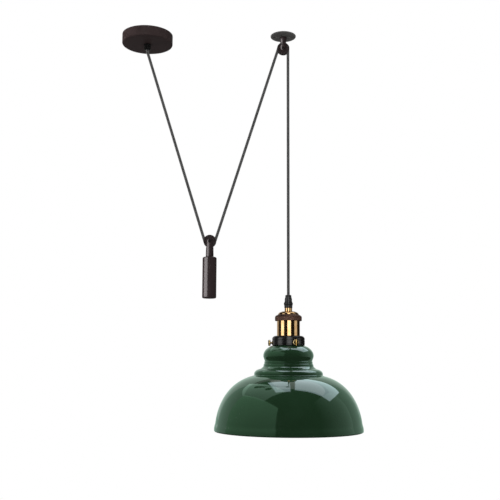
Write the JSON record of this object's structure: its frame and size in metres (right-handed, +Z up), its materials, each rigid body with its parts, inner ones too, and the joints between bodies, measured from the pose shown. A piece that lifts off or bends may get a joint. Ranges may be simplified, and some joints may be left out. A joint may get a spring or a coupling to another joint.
{
  "type": "rise and fall pendant lamp",
  "caption": "Rise and fall pendant: domed metal shade on a flex that runs over a ceiling pulley and under a counterweight pulley to a round ceiling cup.",
  "frame": {"origin": "at the ceiling, on the axis of the ceiling cup, midway between the two screw slots of its bracket", "axes": "+Z up, out of the bracket into the ceiling; +X along the bracket, from the ceiling cup towards the ceiling pulley; +Y away from the viewer of the picture"},
  "size_m": [0.4889, 0.29, 0.805],
  "materials": {
    "strap_steel": "zinc-plated strap, satin",
    "plain_steel": "zinc-plated, satin",
    "axle_steel": "darkened steel, satin",
    "terminal_brass": "plain brass",
    "bush_brass": "plain brass",
    "cup_bronze": "dark bronze-brown paint, satin",
    "fork_bronze": "dark bronze-brown paint, satin",
    "weight_bronze": "dark bronze-brown paint, semi-gloss",
    "wheel_paint": "dark bronze-brown paint, satin, rubbed in the groove",
    "plate_iron": "grey-brown metallic paint, satin",
    "screw_black": "blackened steel",
    "grip_black": "black moulded plastic, fine texture",
    "block_white": "moulded, slightly translucent",
    "core_brown": "flexible insulation",
    "core_blue": "flexible insulation",
    "core_green": "flexible insulation with a second-colour stripe",
    "flex_braid": "dark grey braided cotton, diagonal weave",
    "cap_brass": "antique brass, darkened",
    "ring_bronze": "dark antique bronze",
    "barrel_brass": "antique brass, polished and lacquered",
    "ceramic_white": "glazed ceramic",
    "skirt_black": "black moulded phenolic",
    "gallery_black": "black stove enamel, satin",
    "shade_green": "dark green vitreous enamel, gloss; white enamel inside",
    "screw_brass": "antique brass, knurled"
  },
  "bodies": {
    "ceiling": {"ceiling_bracket": "strap_steel", "earth_screw": "terminal_brass", "canopy": "cup_bronze", "canopy_side_screws": "screw_black", "canopy_cord_grip": "grip_black", "canopy_grip_nut": "plain_steel", "canopy_grip_screw": "grip_black", "terminal_block": "block_white", "terminal_screws": "terminal_brass", "core_live": "core_brown", "core_neutral": "core_blue", "core_earth": "core_green", "pulley_plate": "plate_iron", "ceiling_fork": "fork_bronze", "fork_screw": "plain_steel", "ceiling_axle": "axle_steel", "ceiling_axle_clip": "plain_steel", "cord_left": "flex_braid", "cord_right": "flex_braid", "cord_drop": "flex_braid"},
    "ceiling_pulley": {"ceiling_wheel": "wheel_paint", "ceiling_wheel_bush": "bush_brass"},
    "counterweight": {"weight_axle": "axle_steel", "weight_axle_clip": "plain_steel", "weight_fork": "fork_bronze", "weight_stud": "plain_steel", "weight_cylinder": "weight_bronze"},
    "weight_pulley": {"weight_wheel": "wheel_paint", "weight_wheel_bush": "bush_brass"},
    "lamp": {"lamp_grip_nut": "grip_black", "lamp_grip_body": "grip_black", "holder_cap": "cap_brass", "holder_ring": "ring_bronze", "holder_barrel": "barrel_brass", "socket_core": "ceramic_white", "socket_terminals": "terminal_brass", "socket_skirt": "skirt_black", "screw_shell": "terminal_brass", "centre_contact": "terminal_brass", "lamp_core_live": "core_brown", "lamp_core_neutral": "core_blue", "lamp_core_earth": "core_green", "gallery": "gallery_black", "gallery_nut": "gallery_black", "shade": "shade_green"},
    "front_screw": {"thumb_screw_front": "screw_brass"},
    "right_screw": {"thumb_screw_right": "screw_brass"},
    "left_screw": {"thumb_screw_left": "screw_brass"}
  },
  "joints": [
    {"name": "lamp_travel", "type": "slide", "parent": "ceiling", "child": "lamp", "axis": [0, 0, 1], "range_m": [-0.3, 0.13], "deforming": ["cord_drop"]},
    {"name": "weight_travel", "type": "slide", "parent": "ceiling", "child": "counterweight", "axis": [0, 0, 1], "range_m": [-0.0703, 0.1621], "deforming": ["cord_left", "cord_right"]},
    {"name": "ceiling_wheel_spin", "type": "hinge", "parent": "ceiling", "child": "ceiling_pulley", "pos_m": [0.282, 0, -0.028], "axis": [0, 1, 0], "continuous": true},
    {"name": "weight_wheel_spin", "type": "hinge", "parent": "counterweight", "child": "weight_pulley", "pos_m": [0.13471, 0, -0.433], "axis": [0, 1, 0], "continuous": true},
    {"name": "front_screw_travel", "type": "slide", "parent": "lamp", "child": "front_screw", "axis": [0.3256, -0.9455, 0], "range_m": [0, 0.003]},
    {"name": "right_screw_travel", "type": "slide", "parent": "lamp", "child": "right_screw", "axis": [0.6561, 0.7547, 0], "range_m": [0, 0.003]},
    {"name": "left_screw_travel", "type": "slide", "parent": "lamp", "child": "left_screw", "axis": [-0.9816, 0.1908, 0], "range_m": [0, 0.003]}
  ],
  "couplings": [
    {"joint": "weight_travel", "follows": "lamp_travel", "ratio": -0.54},
    {"joint": "ceiling_wheel_spin", "follows": "lamp_travel", "rad_per_m": -101.01},
    {"joint": "weight_wheel_spin", "follows": "lamp_travel", "rad_per_m": 50.505}
  ]
}
